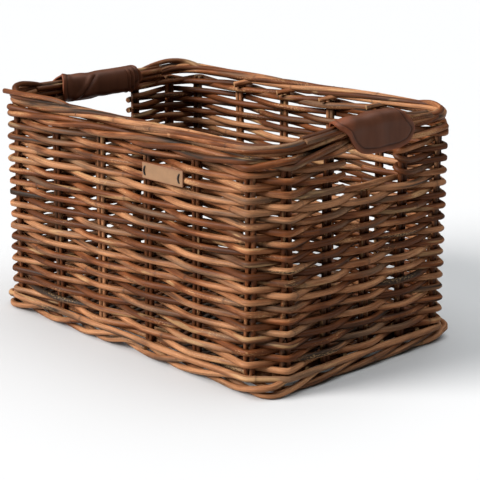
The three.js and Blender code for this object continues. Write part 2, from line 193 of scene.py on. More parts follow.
class BasketStage(bpy.types.PropertyGroup):
    """Floor, light and camera"""

    floor: colour("Floor", "Pale floor", (0.47, 0.459, 0.454))
    key_strength: number("Key light", "Strength of the soft light from the front left", 6.3)
    top_strength: number("Top light", "Strength of the soft light overhead", 3.72)
    top_tint: bpy.props.FloatVectorProperty(
        name="Top tint", description="Colour of the soft light overhead", default=(0.91, 0.965, 1.0),
        subtype="COLOR")
    sky: number("Sky", "Strength of the white surroundings", 0.04)
    azimuth: number(
        "Azimuth", "Camera's way round from the front wall", math.radians(45.93), subtype="ANGLE")
    elevation: number(
        "Elevation", "Camera's height above the floor", math.radians(15.64), subtype="ANGLE")
    distance: number("Distance", "From the camera to what it is aimed at", 1.441, unit="LENGTH")
    aim: bpy.props.FloatVectorProperty(
        name="Aim", description="Point that the camera is aimed at",
        default=(0.2044, -0.1661, 0.1679), subtype="XYZ", unit="LENGTH")
    lens: number("Lens", "Focal length in millimetres on a 36 mm frame", 113.8)


class Wire:
    """A node socket. Sums and products of wires and numbers add Math nodes to the same material."""

    def __init__(self, tree, socket=None):
        self.tree = tree
        self.socket = socket

    def plug(self, node, inputs):
        """Links wires to a node's sockets, by name or number, and sets plain values on them."""
        for key, value in inputs.items():
            if isinstance(value, Wire):
                self.tree.links.new(value.socket, node.inputs[key])
            else:
                node.inputs[key].default_value = value

    def make(self, kind, output, inputs, **settings):
        """Any node, by one of its outputs. Its settings are set first, and then its sockets."""
        node = self.tree.nodes.new(kind)
        for key, value in settings.items():
            if key == "stops":
                self._set_stops(node.color_ramp, value)
            else:
                setattr(node, key, value)
        self.plug(node, inputs)
        return Wire(self.tree, node.outputs[output])

    @staticmethod
    def _set_stops(ramp, stops):
        for element, (position, value) in zip(ramp.elements, stops):
            element.position = position
            element.color = (value, value, value, 1.0)

    def _math(self, operation, first, second):
        return self.make("ShaderNodeMath", 0, {0: first, 1: second}, operation=operation)

    def __add__(self, other):
        return self._math("ADD", self, other)

    __radd__ = __add__

    def __sub__(self, other):
        return self._math("SUBTRACT", self, other)

    def __rsub__(self, other):
        return self._math("SUBTRACT", other, self)

    def __mul__(self, other):
        return self._math("MULTIPLY", self, other)

    __rmul__ = __mul__

    def attribute(self, name, output="Fac"):
        return self.make("ShaderNodeAttribute", output, {}, attribute_name=name)

    def object_place(self):
        return self.make("ShaderNodeTexCoord", "Object", {})

    def stretched(self, across, along):
        """These coordinates, with so many cells to the metre across (x and y) and along (z)."""
        scale = (across, across, along)
        return self.make("ShaderNodeVectorMath", 0, {0: self, 1: scale}, operation="MULTIPLY")

    def noise(self, across, along, detail=2.0, roughness=0.5):
        inputs = {"Vector": self.stretched(across, along), "Scale": 1.0,
                  "Detail": detail, "Roughness": roughness}
        return self.make("ShaderNodeTexNoise", "Fac", inputs)

    def cells(self, scale):
        inputs = {"Vector": self.stretched(scale, scale), "Scale": 1.0}
        return self.make("ShaderNodeTexVoronoi", "Distance", inputs)

    def ramp(self, begins, full, most=1.0):
        """Rises from nothing where it begins to the most where it is full."""
        stops = ((begins, 0.0), (full, most))
        return self.make("ShaderNodeValToRGB", "Color", {"Fac": self}, stops=stops)

    def mix(self, first, second):
        """Between two colours, by this value."""
        return self.make("ShaderNodeMix", 2, {0: self, 6: first, 7: second}, data_type="RGBA")

    def shaded(self, value):
        """This colour times a value."""
        return self.make("ShaderNodeMix", 2, {0: 1.0, 6: self, 7: value},
                         data_type="RGBA", blend_type="MULTIPLY")

    def bump(self, strength, depth):
        return self.make("ShaderNodeBump", 0, {"Height": self, "Strength": strength, "Distance": depth})


def new_material(name, build, *settings):
    """A node material whose principled shader takes what build returns for its sockets."""
    material = bpy.data.materials.new(name)
    material.use_nodes = True
    shader = next(node for node in material.node_tree.nodes if node.type == "BSDF_PRINCIPLED")
    wire = Wire(material.node_tree)
    wire.plug(shader, build(wire, *settings))
    return material


# For the rods of each kind, how far they lean to honey and how much bark they keep. The base's low share
# and its bark make it dark: partly its own unpeeled tone, partly painted shade for the base seen through
# the gaps of the walls
RATTAN = {"uprights": (-0.06, 0.0), "weavers": (0.02, 0.0), "rim": (0.07, 0.01), "base": (-0.4, 0.12)}


def rattan(wire, colours, honey_share, bark_share):
    """Unpeeled rattan: each rod has its own brown, with dark bark, pale patches, streaks and knots."""
    stock = wire.attribute("stock", "Vector")
    slow = stock.noise(60, 7)
    blotch = stock.noise(170, 28, 3, 0.6)
    streak = stock.noise(1500, 16)
    fine = stock.noise(1300, 420)
    warmth = wire.attribute("tone") * 0.55 + slow * 1.2 + blotch * 0.5 - 0.62 + honey_share
    weathered = stock.noise(65, 6)
    barky = stock.noise(75, 4.5, 3, 0.55) + blotch * 0.22 + bark_share
    peeled = stock.noise(85, 11)
    speckle = fine * stock.noise(90, 14, 1)
    brown = colours.walnut
    # What lies over it: by which value, where that begins and is full, how much it covers, and its colour
    for value, begins, full, most, paint in (
        (warmth, 0.32, 0.56, 1.0, colours.russet),
        (warmth, 0.5, 0.8, 1.0, colours.honey),
        (weathered, 0.54, 0.66, 0.7, colours.ash),
        (barky, 0.68, 0.78, 1.0, colours.bark),
        (peeled, 0.64, 0.67, 0.5, colours.straw),
        (speckle, 0.37, 0.43, 0.5, colours.straw),
    ):
        brown = value.ramp(begins, full, most).mix(brown, paint)
    brown = (wire.attribute("knot") * 0.5).mix(brown, colours.bark)
    brown = brown.shaded(streak * 1.5 + blotch * 1.2 + fine * 0.5 - 0.66)
    relief = streak * 0.6 + fine * 0.4
    return {
        "Base Color": (wire.attribute("cut") * 0.7).mix(brown, colours.straw),
        "Roughness": fine * 0.2 + streak * 0.2 + 0.32,
        "Specular IOR Level": 0.12,
        "Normal": relief.bump(0.4, 0.5 * MM),
    }


def wrap_leather(wire, colours):
    """Soft dark leather with fine grain, a pressed line, redder, worn edges, and painted sheen in soft
    vertical bands.
    """
    place = wire.object_place()
    cloudy = place.noise(45, 45, 3, 0.6)
    grain = place.noise(1400, 1400, 3, 0.6)
    # Painted sheen: soft vertical bands, lighter and darker, that stand in for highlights
    painted_sheen_bands = place.noise(75, 14)
    worn = wire.attribute("edge") * 0.75 + cloudy * 0.9 - 0.45
    brown = worn.ramp(0.12, 0.62).mix(colours.wrap, colours.wrap_edge)
    relief = grain * 0.5 + place.cells(900) * 0.5
    return {
        "Base Color": brown.shaded(0.51 - wire.attribute("groove") * 0.72 + cloudy * 0.3 + painted_sheen_bands * 0.8),
        "Roughness": 0.36 + cloudy * 0.22 + grain * 0.1,
        "Specular IOR Level": 0.13,
        "Normal": relief.bump(0.25, 0.3 * MM),
    }


def label_leather(wire, colours):
    """Bare tan leather with a fine nap and darkened edges."""
    place = wire.object_place()
    cloudy = place.noise(110, 110, 3, 0.6)
    grain = place.noise(1800, 1800, 3, 0.65)
    tan = (wire.attribute("edge") * 0.8).mix(colours.label, colours.russet)
    return {
        "Base Color": tan.shaded(cloudy * 0.4 + grain * 0.25 + 0.68),
        "Roughness": 0.6 + grain * 0.15,
        "Normal": grain.bump(0.3, 0.3 * MM),
    }


def waxed_cord(wire, colours):
    """Dark cord with the slant of its twisted strands."""
    strand = wire.attribute("stock", "Vector").noise(2200, 500)
    return {
        "Base Color": strand.mix(colours.cord, colours.bark),
        "Roughness": 0.55 + strand * 0.2,
        "Normal": strand.bump(0.4, 0.3 * MM),
    }


def pale_floor(wire, paint):
    return {"Base Color": paint, "Roughness": 0.9}


def smooth_path(controls, per_span=10):
    """A rounded line through the control points: a centripetal Catmull-Rom curve."""
    points = np.asarray(controls, float)
    knots = np.vstack((2 * points[0] - points[1], points, 2 * points[-1] - points[-2]))
    p0, p1, p2, p3 = (knots[i:len(knots) - 3 + i, None, :] for i in range(4))
    spans = np.sqrt(np.linalg.norm(np.diff(knots, axis=0), axis=1))[:, None, None]
    t1 = spans[:-2]
    t2 = t1 + spans[1:-1]
    t3 = t2 + spans[2:]
    t = t1 + (t2 - t1) * (np.arange(per_span) / per_span)[None, :, None]

    def between(first, second, begins, ends):
        return first + (second - first) * (t - begins) / (ends - begins)

    a1, a2, a3 = between(p0, p1, 0, t1), between(p1, p2, t1, t2), between(p2, p3, t2, t3)
    b1, b2 = between(a1, a2, 0, t2), between(a2, a3, t1, t3)
    return np.vstack((between(b1, b2, t1, t2).reshape(-1, 3), points[-1]))


def unit(vectors):
    return vectors / np.linalg.norm(vectors, axis=-1, keepdims=True)


def travelled(line):
    """How far along a line each of its points lies."""
    return np.concatenate(([0.0], np.cumsum(np.linalg.norm(np.diff(line, axis=0), axis=1))))


def read_off(places, known, values):
    """The columns of values, which are known at some places, read off at others."""
    return np.stack([np.interp(places, known, column) for column in values.T], axis=1)


def wave(seed, lane, place):
    """Slow noise along a rod, of its own for each seed and lane."""
    return noise.noise(Vector((seed, lane, place)))


STRAY_SCALE = 11.0  # waves to the metre of the uneven handwork
STRAY_GAIN = 1.6  # lifts the noise, which seldom comes near 1
STRAY_SLICES = [Vector(offset) for offset in ((0.3, 0, 0), (5.2, 1.3, 0), (0, 7.1, 3.4))]  # for x, y and z
LEVEL_FLOOR = 30 * MM  # below this the handwork grows level, so that the foot stands flat


def handmade(points, stray):
    """Moves points a little, alike wherever they lie, as a basket woven by hand is nowhere straight."""
    moved = np.array(points, float)
    for point in moved:
        place = Vector(point) * STRAY_SCALE
        drift = Vector([noise.noise(place + offset) for offset in STRAY_SLICES]) * stray * STRAY_GAIN
        drift.z *= min(1.0, point[2] / LEVEL_FLOOR)
        point += drift
    return moved


class RodBundle:
    """One mesh of rods. Each point keeps its place on the straight rod, which the grain follows."""

    RING_STEP = 4.5 * MM
    SIDES = 10
    STOCK = 60.0  # metres of straight rod, of which each rod has a stretch
    KNOT_SPACING = (0.11, 0.3)
    KNOT_WIDTH = 1.4 * MM
    KNOT_RINGS = (-2.5, -1, 0, 1, 2.5)  # where a knot has rings, in widths from its middle
    KNOT_SWELL = 0.09
    SLOW_SWELL = 0.09
    SLOW_WAVES = 9.0  # to the metre
    BEVEL = 0.5 * MM
    END_CLEAR = 10 * BEVEL  # no knot is closer to an end
    END_TAPER = 0.8

    def __init__(self, sizes, seed):
        self.rng = random.Random(seed + sizes.seed * 1000)
        self.stray = sizes.unevenness
        self.bm = bmesh.new()
        layers = self.bm.verts.layers
        self.stock = layers.float_vector.new("stock")
        self.marks = [layers.float.new(name) for name in ("tone", "knot", "cut")]

    def _knots(self, length):
        places = []
        place = self.rng.uniform(*self.KNOT_SPACING)
        while place < length - self.END_CLEAR:
            places.append(place)
            place += self.rng.uniform(*self.KNOT_SPACING)
        return np.array(places)

    def grow(self, line, radius, across=UP, tone=None, cut=1.0):
        """Extrudes a ring along a line, with slow changes of thickness, knots, and cut ends."""
        line = handmade(line, self.stray)
        tone = self.rng.random() if tone is None else tone
        start = self.rng.uniform(0.0, self.STOCK)
        reached = travelled(line)
        length = reached[-1]
        knots = self._knots(length)
        ringed = np.add.outer(knots, self.KNOT_WIDTH * np.array(self.KNOT_RINGS)).ravel()
        count = max(3, round(length / self.RING_STEP))
        even = np.linspace(self.BEVEL, length - self.BEVEL, count)
        along = np.unique(np.concatenate(((0.0, length), even, ringed)))
        axis = read_off(along, reached, line)
        knot = np.zeros(len(along))
        for place in knots:
            knot = np.maximum(knot, bell(along - place, self.KNOT_WIDTH))
        slow = np.array([wave(start, 3.7, place * self.SLOW_WAVES) for place in along])
        radii = radius * (1 + self.SLOW_SWELL * slow + self.KNOT_SWELL * knot)
        ends = (along < self.BEVEL / 2) | (along > length - self.BEVEL / 2)
        radii[ends] *= self.END_TAPER
        tangents = unit(np.gradient(axis, axis=0))
        side = unit(across - tangents * (tangents @ across)[:, None])
        other = np.cross(tangents, side)
        angles = np.arange(self.SIDES) * 2 * math.pi / self.SIDES
        wheel = np.stack((np.cos(angles), np.sin(angles)), axis=1)
        rings = axis[:, None] + radii[:, None, None] * (
            wheel[None, :, :1] * side[:, None] + wheel[None, :, 1:] * other[:, None])
        stock = np.empty((len(along), self.SIDES, 3))
        stock[:, :, :2] = wheel[None] * radii[:, None, None]
        stock[:, :, 2] = (along + start)[:, None]
        self._roll_up(rings, stock, np.stack((np.full(len(along), tone), knot, ends * cut), 1))

    def _roll_up(self, rings, stock, marks):
        """Rolls a grid up into a tube and joins its seam."""
        last = len(rings) - 1
        verts = bmesh.ops.create_grid(self.bm, x_segments=last, y_segments=self.SIDES, size=1.0)["verts"]
        for vert in verts:
            ring = round((vert.co.x + 1) / 2 * last)
            spoke = round((vert.co.y + 1) / 2 * self.SIDES) % self.SIDES
            vert.co = rings[ring, spoke]
            vert[self.stock] = stock[ring, spoke]
            for layer, value in zip(self.marks, marks[ring]):
                vert[layer] = value
        seam = [vert for vert in verts if vert.is_boundary]
        bmesh.ops.remove_doubles(self.bm, verts=seam, dist=1e-7)

    def finish(self, name, material, slot, *nodes):
        butts = [edge for edge in self.bm.edges if edge.is_boundary]
        bmesh.ops.holes_fill(self.bm, edges=butts, sides=self.SIDES)
        bmesh.ops.recalc_face_normals(self.bm, faces=self.bm.faces)
        for face in self.bm.faces:
            face.smooth = len(face.verts) == 4
        return finish_piece(self.bm, name, material, slot, *nodes)


def finish_piece(bm, name, material, slot, *nodes):
    """Makes the mesh a piece that rides on the basket and stands for its CAD nodes."""
    mesh = bpy.data.meshes.new(name)
    bm.to_mesh(mesh)
    bm.free()
    mesh.materials.append(material)
    piece = bpy.data.objects.new(name, mesh)
    bpy.context.scene.collection.objects.link(piece)
    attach(piece, "root")
    if nodes:
        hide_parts(*nodes)
    return piece


def finish_sheet(bm, outward, thickness, rounding, *piece_settings):
    """Turns a sheet's face outward, and makes it a piece with its thickness and rounded edges."""
    bmesh.ops.recalc_face_normals(bm, faces=bm.faces)
    foremost = max(bm.faces, key=lambda face: face.calc_center_median().dot(outward))
    foremost.normal_update()
    if foremost.normal.dot(outward) < 0:
        bmesh.ops.reverse_faces(bm, faces=bm.faces)
    for face in bm.faces:
        face.smooth = True
    piece = finish_piece(bm, *piece_settings)
    solidify = piece.modifiers.new("Thickness", "SOLIDIFY")
    solidify.thickness = thickness
    solidify.offset = 0.0
    bevel = piece.modifiers.new("Rounding", "BEVEL")
    bevel.width = rounding
    bevel.segments = 2
    bevel.angle_limit = math.radians(50)


class BasketOperator(bpy.types.Operator):
    """What the operators of the basket share."""

    bl_options = {"REGISTER", "UNDO"}

    def sizes(self, context):
        return context.scene.basket_sizes

    def material(self, context, name, build, *settings):
        """The material of that name, made on its first use."""
        colours = context.scene.basket_colours
        return bpy.data.materials.get(name) or new_material(name, build, colours, *settings)

    def rod_material(self, context, kind):
        return self.material(context, f"Rattan {kind}", rattan, *RATTAN[kind])


class BASKET_OT_uprights(BasketOperator):
    """Bend each pair of uprights from one rod, with its bend on the foot"""

    bl_idname = "basket.uprights"
    bl_label = "Uprights"

    SEED = 100
    BEND_STEPS = 8
    STRAIGHT_STEPS = 4
    STEP = 20 * MM  # down from the top
    LEAN = 0.7  # in millimetres
    THICKNESS = (0.93, 1.07)  # of a rod, in radii

    def execute(self, context):
        sizes = self.sizes(context)
        material = self.rod_material(context, "uprights")
        for index, pair in enumerate(PAIRS):
            bundle = RodBundle(sizes, self.SEED + index)
            bend_level = pair.foot + PAIR_HALF + sizes.upright
            top = row_level(SILL_ROW) - sizes.weaver if pair.is_cut else pair.top
            levels = [top - self.STEP * k for k in range(self.STRAIGHT_STEPS)]
            lean = pair.along * (bundle.rng.uniform(-1, 1) * self.LEAN * MM)
            down, up = ([pair.beside(0, side * PAIR_HALF, level) for level in levels] for side in (-1, 1))
            for point in down + up:
                point[:2] += lean
            bend = [
                pair.beside(0, -PAIR_HALF * math.cos(angle), bend_level - PAIR_HALF * math.sin(angle))
                for angle in np.linspace(0, math.pi, self.BEND_STEPS)
            ]
            radius = sizes.upright * bundle.rng.uniform(*self.THICKNESS)
            bundle.grow(smooth_path(down + bend + up[::-1]), radius, across=np.array((*pair.outward, 0.0)))
            bundle.finish(f"{pair.node}_rods", material, "rattan_uprights", pair.node)
        return {"FINISHED"}


# How a rod passes a corner pair: outside it bends sharply, and inside it lies along both uprights.
# For each side, how much further out it lies, and how far either way of the pair's middle
CORNER_PASS = {1: (0.6 * MM, 0.45 * PAIR_HALF), -1: (0.4 * MM, 1.3 * PAIR_HALF)}
SWAY = (-0.3, 0.7)  # how far a row strays outward at a pair, in millimetres
DRIFT = 0.45  # and up or down


def outside(index, row):
    """1 where a row passes outside that pair, or over that stick of the base, and otherwise -1."""
    return 1 if (index + row) % 2 == 0 else -1


def passing(pair, side, reach, z):
    """Where a rod passes a pair."""
    if not pair.is_corner:
        return [pair.beside(side * reach, 0, z)]
    further, half = CORNER_PASS[side]
    return [pair.beside(side * reach + further, along * half, z) for along in (-1, 1)]


def woven(rng, sizes, index, row):
    """Where a row passes a pair, as evenly as the weaver's hand goes."""
    pair = PAIRS[index]
    reach = sizes.swing + rng.uniform(*SWAY) * MM
    if row == SILL_ROW and pair.is_cut:
        return [pair.beside(0, 0, row_level(row) + MM)]
    return passing(pair, outside(index, row), reach, row_level(row) + rng.uniform(-DRIFT, DRIFT) * MM)


class BASKET_OT_weaving(BasketOperator):
    """Weave the rows below the hand holes, each over one pair and under the next"""

    bl_idname = "basket.weaving"
    bl_label = "Weaving"

    SEED = 200
    TUCK = 13 * MM  # a rod's ends run on this far behind the pair where they meet
    OVERLAP = 1.9  # from one end to the other behind it, in radii
    THICKNESS = (0.92, 1.06)
    PALE_ROWS = 3  # the lowest rows are of paler rods
    PALE = 0.8

    def row(self, bundle, sizes, row):
        rng = bundle.rng
        joint = rng.choice([i for i, pair in enumerate(PAIRS) if outside(i, row) < 0 and pair.is_plain])
        radius = sizes.weaver * rng.uniform(*self.THICKNESS)
        level = row_level(row)
        first = PAIRS[joint]
        line = [first.beside(-sizes.swing, along, level) for along in (-self.TUCK, 0)]
        for step in range(1, len(PAIRS)):
            line += woven(rng, sizes, (joint + step) % len(PAIRS), row)
        inner = -sizes.swing - self.OVERLAP * radius
        line += [first.beside(inner, -2 * MM, level), first.beside(inner - MM, self.TUCK, level)]
        bundle.grow(smooth_path(line), radius, tone=self.PALE if row < self.PALE_ROWS else None)

    def execute(self, context):
        sizes = self.sizes(context)
        material = self.rod_material(context, "weavers")
        rods = WEAVER_RODS // 2
        for chaser in (0, 1):
            rounds = math.ceil((LOWER_ROWS - chaser) / 2)
            done = 0
            for i in range(rods):
                count = math.ceil((rounds - done) / (rods - i))
                node = f"weaver_{2 * i + chaser + 1}"
                bundle = RodBundle(sizes, self.SEED + 2 * i + chaser)
                for lap in range(done, done + count):
                    self.row(bundle, sizes, 2 * lap + chaser)
                bundle.finish(f"{node}_rods", material, "rattan_weavers", node)
                done += count
        return {"FINISHED"}


class BASKET_OT_upper_weaving(BasketOperator):
    """Weave beside the hand holes with rods bent double round one hole's pair and cut flush at the other"""

    bl_idname = "basket.upper_weaving"
    bl_label = "Upper weaving"

    SEED = 300
    TURN_STEPS = 5
    TURN_CLOSER = 1.5 * MM  # to the pair than a row passes
    PAST_LAST = {"right": 19 * MM, "left": 8 * MM}  # from the last pair to the cut ends
    PAST_STRAY = 0.6  # of the cut ends, either way, in millimetres
    CUT_SWING = 0.6  # how much of a row's swing its cut end keeps
    THICKNESS = (0.94, 1.06)
    PALENESS_AND_PAINTED_SHADE = {"front": (0.6, 1.0), "back": (0.25, 0.1)}  # how pale the rods and their cut ends are; at the back they are darker and duller, as painted shade for the inside of the back wall

    def row(self, rng, sizes, way, row):
        points = [point for index in way for point in woven(rng, sizes, index, row)]
        last = PAIRS[way[-1]]
        out = outside(way[-1], row) * sizes.swing * self.CUT_SWING
        past = self.PAST_LAST[last.wall] + rng.uniform(-self.PAST_STRAY, self.PAST_STRAY) * MM
        return points + [last.beside(out, past, row_level(row))]

    def turn(self, sizes, pair, side, row):
        """Round the pair at a hole, from one row to the next."""
        points = []
        for part in np.linspace(0, 1, self.TURN_STEPS)[1:-1]:
            out = side * sizes.swing * math.cos(math.pi * part)
            past = PAIR_HALF + (sizes.swing - self.TURN_CLOSER) * math.sin(math.pi * part)
            points.append(pair.beside(out, -past, row_level(row + part)))
        return points

    def execute(self, context):
        sizes = self.sizes(context)
        material = self.rod_material(context, "weavers")
        count = len(PAIRS)
        last_row = LOWER_ROWS + UPPER_ROWS - 1
        for start in [i for i in range(count) if PAIRS[i - 1].is_cut]:
            way = [(start + step) % count for step in range(count // 2 - 1)]
            wall = "front" if PAIRS[start].wall == "left" else "back"
            bundle = RodBundle(sizes, self.SEED + start)
            rng = bundle.rng
            for row in range(LOWER_ROWS, last_row, 2):
                line = self.row(rng, sizes, way, row)[::-1]
                line += self.turn(sizes, PAIRS[start], outside(start, row), row)
                line += self.row(rng, sizes, way, row + 1)
                radius = sizes.weaver * rng.uniform(*self.THICKNESS)
                # At the back, the darker tone and the duller cut ends are painted shade
                bundle.grow(smooth_path(line), radius, UP, *self.PALENESS_AND_PAINTED_SHADE[wall])
            tail = self.turn(sizes, PAIRS[start], -outside(start, last_row), last_row - 1)
            line = tail + self.row(rng, sizes, way, last_row)
            bundle.grow(smooth_path(line), sizes.weaver, UP, *self.PALENESS_AND_PAINTED_SHADE[wall])
            node = f"upper_weaver_{wall}"
            bundle.finish(f"{node}_rods", material, "rattan_weavers", node)
        return {"FINISHED"}


class BASKET_OT_wales(BasketOperator):
    """Lay three wale rods under the border, each over two pairs and behind one, and two round the base"""

    bl_idname = "basket.wales"
    bl_label = "Wales"

    SEED = 400
    BELOW_TOP = 2.2 * MM  # from the tops of the uprights to the upper rods
    PLAY = 0.2 * MM  # between a wale rod and the uprights
    THICKNESS = (0.97, 1.06)
    # Nodes at the rim, what their pieces are called, and the turns at which their rods start
    RIM = (("rim_wale_outer", "rods", (0, 1)), ("rim_wale_inner", "rod", (2,)))
    BASE = ((1, -0.6 * MM), (-1, MM))  # outside and inside, and how far above the middle of the node

    def clasp(self, sizes):
        """From the line of the uprights to a rod that lies against them."""
        return sizes.upright + sizes.weaver + self.PLAY

    def rim_line(self, sizes, turn):
        upper = STAKE_TOP - self.BELOW_TOP
        lower = upper - 2 * sizes.weaver
        levels = ((upper + lower) / 2, lower, upper)
        clasp = self.clasp(sizes)
        line = []
        for step in range(len(PAIRS) + 1):
            pair = PAIRS[step % len(PAIRS)]
            phase = (step + turn) % len(levels)
            rise = rim_rise(*pair.place, back=0.0)
            if pair.is_cut:
                line.append(pair.beside((phase - 1) * 0.5 * clasp, 0, upper + rise))
            else:
                line += passing(pair, -1 if phase == 0 else 1, clasp, levels[phase] + rise)
        return smooth_path(line)

    def execute(self, context):
        sizes = self.sizes(context)
        material = self.rod_material(context, "rim")
        for number, (node, ending, turns) in enumerate(self.RIM):
            bundle = RodBundle(sizes, self.SEED + number)
            for turn in turns:
                radius = sizes.weaver * bundle.rng.uniform(*self.THICKNESS)
                bundle.grow(self.rim_line(sizes, turn), radius)
            bundle.finish(f"{node}_{ending}", material, "rattan_rim", node)
        bundle = RodBundle(sizes, self.SEED + len(self.RIM))
        for side, rise in self.BASE:
            level = box_middle("base_wale").z + rise
            line = [point for pair in [*PAIRS, PAIRS[0]]
                    for point in passing(pair, side, self.clasp(sizes), level)]
            bundle.grow(smooth_path(line), sizes.weaver)
        bundle.finish("base_wale_rods", material, "rattan_rim", "base_wale")
        return {"FINISHED"}


CORNER_STEPS = 13
LOOP_STEPS = 240
TUCK_STEPS = 4  # that a rod of a loop runs on at both ends
DIVE_STEPS = 6  # in which its ends leave the middle of the twist
WOBBLE_WAVES = 9.0  # to the metre
SWELL_WAVES = 12.0
LOOP_SWELL = 0.2


def loop_line(steps, corner):
    """Places round the line of the uprights with round corners: points, outward ways and lengths."""
    points, ways = [], []
    for quarter, (x, y) in enumerate(((1, 1), (-1, 1), (-1, -1), (1, -1))):
        centre = np.array((x * (HALF_X - corner), y * (HALF_Y - corner)))
        for angle in np.linspace(0, math.pi / 2, CORNER_STEPS) + quarter * math.pi / 2:
            way = np.array((math.cos(angle), math.sin(angle)))
            points.append(centre + way * corner)
            ways.append(way)
    points, ways = (np.array([*rows, rows[0]]) for rows in (points, ways))
    reached = travelled(points)
    lengths = np.linspace(0, reached[-1], steps)
    places = read_off(lengths, reached, points)
    places[:, 1] += MIDDLE_Y
    return places, unit(read_off(lengths, reached, ways)), lengths


def twisted_rod(bundle, share, turns, rope, corner, level_of, wander, shift=0.0, floor=-1.0):
    """One rod of a twisted loop, shifted outward. Its ends dive into the middle of the twist."""
    places, outward, lengths = loop_line(LOOP_STEPS + 1, corner)
    first = round(share * LOOP_STEPS)
    seed = bundle.rng.uniform(0, 50)
    line = []
    for step in range(-TUCK_STEPS, LOOP_STEPS + TUCK_STEPS + 1):
        index = (first + step) % LOOP_STEPS
        place, way, reached = places[index], outward[index], lengths[index]
        swell = 1 + LOOP_SWELL * wave(seed, 7.5, reached * SWELL_WAVES)
        tucked = smooth_step(min(step + TUCK_STEPS, LOOP_STEPS + TUCK_STEPS - step) / DIVE_STEPS)
        wobble = wander * wave(seed, 0.5, reached * WOBBLE_WAVES)
        roll = 2 * math.pi * (share + turns * reached / lengths[-1]) + wobble
        reach = rope * swell * tucked
        x, y = place + way * (shift + reach * math.cos(roll))
        line.append((x, y, max(level_of(place) + reach * math.sin(roll), floor)))
    return np.array(line)


class BASKET_OT_border(BasketOperator):
    """Twist the rods of the border round each other along the rim, with their cut ends inside"""

    bl_idname = "basket.border"
    bl_label = "Border"

    SEED = 500
    ENDS_SEED = 520
    RODS = 6  # the last one goes with the ends
    CORNER = 36 * MM
    ABOVE_STAKES = 0.35 * MM
    WANDER = 0.6
    THICKNESS = (0.9, 1.1)
    # A rod's end beside a pair, in millimetres outward, along the wall and up from the border's axis
    END = ((4, -26, -1), (-2, -12, -4), (-8, -3, -7), (-15, 2, -8.5))
    END_SHIFT = 12  # either way along the wall, in millimetres
    END_THICKNESS = (1.05, 1.25)
    # Strands that stand out of the twist at three corners, two of them at the front left one
    STRAYS = (
        ((-204, -142.5, 256.5), (-175, -144, 257.5), (-140, -143, 258.5), (-112, -139.5, 257),
         (-90, -136, 252)),
        ((-186, -138, 254), (-200, -131, 259), (-208, -118, 260.5), (-212, -100, 258), (-213, -76, 252)),
        ((-214, 62, 252), (-215, 94, 259), (-213, 116, 261), (-202, 132, 259.5), (-172, 140, 252)),
        ((150, 140, 252), (184, 140, 257), (209, 126, 253), (219, 98, 249), (216, 60, 247)),
    )
    STRAY_TONE = 0.35
    STRAY_THICKNESS = (1.05, 1.2)
    GRIP_LENGTH = 190 * MM
    GRIP_STEPS = 12
    GRIP_RODS = ((-5.6, 2.2), (-1.0, 5.4), (4.4, 3.6), (-4.4, -4.6))  # outward and up from the axis, in mm
    GRIP_FINISH = {"tone": 0.15, "cut": 0.1}
    GRIP_THICKNESS = (1.0, 1.15)

    def execute(self, context):
        sizes = self.sizes(context)
        material = self.rod_material(context, "rim")
        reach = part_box("border_rod_1")[1].x - HALF_X
        axis = STAKE_TOP + self.ABOVE_STAKES + reach

        def level_of(place):
            return axis + rim_rise(*place)

        ends = RodBundle(sizes, self.ENDS_SEED)
        for i in range(self.RODS):
            bundle = RodBundle(sizes, self.SEED + i) if i < self.RODS - 1 else ends
            line = twisted_rod(
                bundle, i / self.RODS, sizes.border_turns, reach - sizes.border, self.CORNER,
                level_of, self.WANDER)
            bundle.grow(line, sizes.border * bundle.rng.uniform(*self.THICKNESS))
            if bundle is not ends:
                node = f"border_rod_{i + 1}"
                bundle.finish(f"{node}_round", material, "rattan_rim", node)
        for pair in PAIRS:
            if not pair.is_plain:
                continue
            top = level_of(pair.place)
            shift = ends.rng.uniform(-self.END_SHIFT, self.END_SHIFT) * MM
            line = [pair.beside(out * MM, shift + along * MM, top + up * MM) for out, along, up in self.END]
            ends.grow(smooth_path(line), sizes.upright * ends.rng.uniform(*self.END_THICKNESS))
        for end in (1, -1):
            x = end * HALF_X
            ys = np.linspace(-0.5, 0.5, self.GRIP_STEPS) * self.GRIP_LENGTH + MIDDLE_Y
            for out, up in np.array(self.GRIP_RODS) * MM:
                line = [(x + end * out, y, level_of((x, y)) + up) for y in ys]
                radius = sizes.border * ends.rng.uniform(*self.GRIP_THICKNESS)
                ends.grow(smooth_path(line), radius, **self.GRIP_FINISH)
        for line in self.STRAYS:
            radius = sizes.upright * ends.rng.uniform(*self.STRAY_THICKNESS)
            ends.grow(smooth_path(np.array(line) * MM), radius, tone=self.STRAY_TONE)
        ends.finish("border_rod_ends", material, "rattan_rim")
        return {"FINISHED"}


class BASKET_OT_foot(BasketOperator):
    """Twist the rods of the foot round each other under the walls"""

    bl_idname = "basket.foot"
    bl_label = "Foot"

    SEED = 600
    RODS = 3
    CORNER = 14 * MM
    ROPE = 5.8 * MM  # from the middle of the twist to the rods' axes
    SHIFT = MM  # of the twist, outward of the uprights
    WANDER = 1.1
    THICKNESS = (0.95, 1.03)
    LEAST_LEVEL = 1.13  # of a rod's axis above the floor, in radii
    PALE = 0.85

    def execute(self, context):
        sizes = self.sizes(context)
        material = self.rod_material(context, "rim")
        for i in range(self.RODS):
            bundle = RodBundle(sizes, self.SEED + i)
            radius = sizes.foot * bundle.rng.uniform(*self.THICKNESS)
            line = twisted_rod(
                bundle, i / self.RODS, sizes.foot_turns, self.ROPE, self.CORNER,
                lambda place: self.ROPE + sizes.foot, self.WANDER, self.SHIFT, radius * self.LEAST_LEVEL)
            bundle.grow(line, radius, tone=self.PALE)
            node = f"foot_rod_{i + 1}"
            bundle.finish(f"{node}_round", material, "rattan_rim", node)
        return {"FINISHED"}


